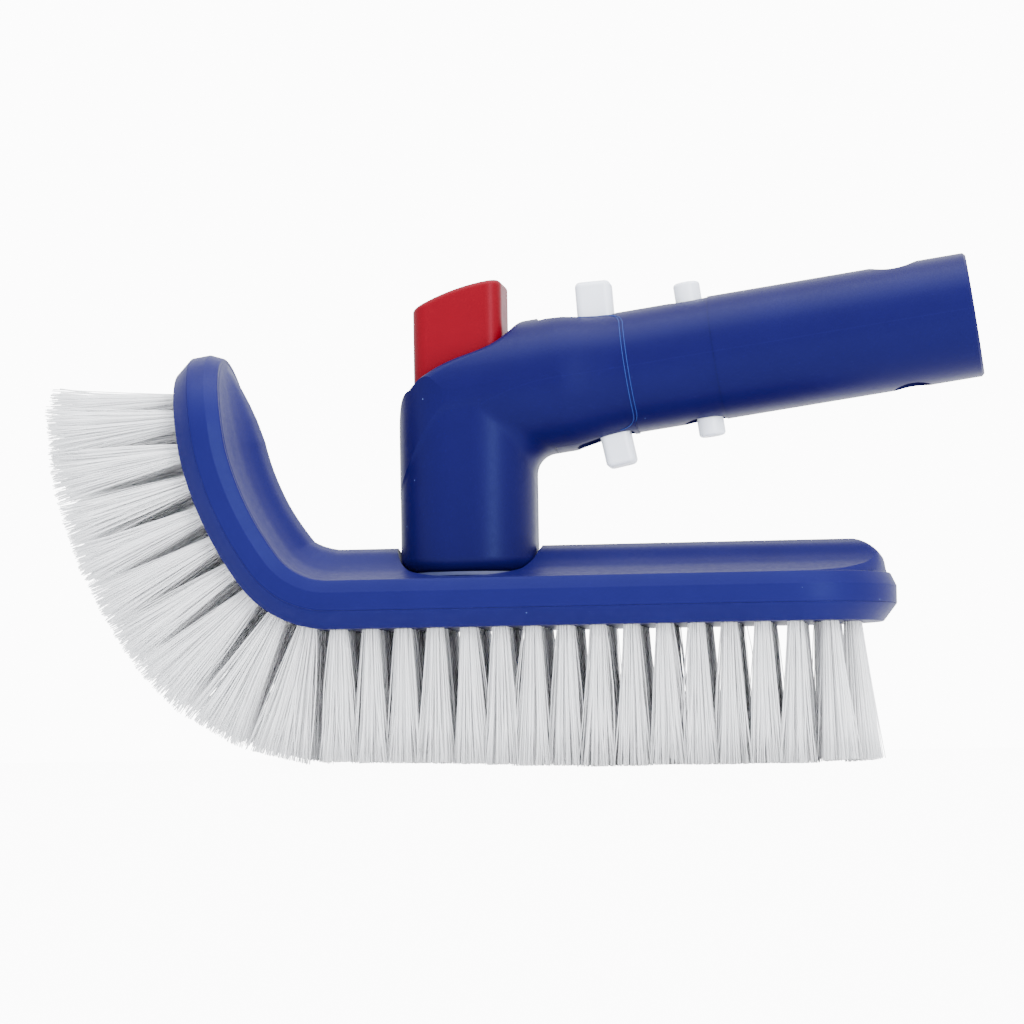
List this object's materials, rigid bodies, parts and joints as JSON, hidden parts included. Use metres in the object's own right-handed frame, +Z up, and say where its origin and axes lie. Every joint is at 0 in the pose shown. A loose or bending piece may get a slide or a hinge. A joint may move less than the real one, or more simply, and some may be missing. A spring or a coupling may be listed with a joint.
{
  "type": "pool wall brush",
  "caption": "Curved pool wall brush with white bristle tufts on a blue J-shaped head, a locking swivel neck with a red release button, and a pole tube with a squeeze clip.",
  "frame": {"origin": "on the surface that the bristle tips stand on, under the middle of the brush's length and width", "axes": "+X along the head from the upturned end towards the nose and the open end of the tube, +Y across the head, +Z up from the bristle tips"},
  "size_m": [0.2156, 0.045, 0.1154],
  "materials": {
    "blue_shell": "satin, fine moulded texture",
    "blue_block": "satin",
    "blue_handle": "satin, fine moulded texture",
    "blue_tube": "satin",
    "dark_gasket": "matt",
    "white_nylon": "satin",
    "clip_nylon": "slightly translucent",
    "red_button": "glossy",
    "bristle": "white filament",
    "stainless": "plain",
    "anchor_brass": "drawn flat wire"
  },
  "bodies": {
    "head": {"back_shell": "blue_shell", "bristle_block": "blue_block", "tufts_outer_near": "bristle", "tufts_inner_near": "bristle", "tufts_centre": "bristle", "tufts_inner_far": "bristle", "tufts_outer_far": "bristle", "tuft_anchors": "anchor_brass", "swivel_gasket": "dark_gasket", "clutch_disc": "white_nylon", "screw_washer": "stainless", "pivot_screw": "stainless"},
    "handle": {"elbow_housing": "blue_handle", "pole_tube": "blue_tube", "clip_fold": "clip_nylon"},
    "button": {"release_button": "red_button", "lock_cage": "white_nylon", "lock_ring": "white_nylon", "return_spring": "stainless"},
    "clip_upper": {"clip_upper_arm": "clip_nylon"},
    "clip_lower": {"clip_lower_arm": "clip_nylon"}
  },
  "joints": [
    {"name": "head_swivel", "type": "hinge", "parent": "head", "child": "handle", "pos_m": [-0.0106, 0, 0.0553], "axis": [0, 0, 1], "range_deg": [-135, 135]},
    {"name": "release_press", "type": "slide", "parent": "handle", "child": "button", "axis": [0, 0, -1], "range_m": [0, 0.003], "stiffness_N_per_m": 800, "springref_m": -0.003, "deforming": ["return_spring"]},
    {"name": "clip_squeeze_upper", "type": "hinge", "parent": "handle", "child": "clip_upper", "pos_m": [0.07017, 0, 0.0984], "axis": [0, -1, 0], "range_deg": [0, 8.5], "stiffness_Nm_per_rad": 0.8, "springref_deg": -5.73},
    {"name": "clip_squeeze_lower", "type": "hinge", "parent": "handle", "child": "clip_lower", "pos_m": [0.07073, 0, 0.09444], "axis": [0, 1, 0], "range_deg": [0, 8.5], "stiffness_Nm_per_rad": 0.8, "springref_deg": -5.73}
  ]
}
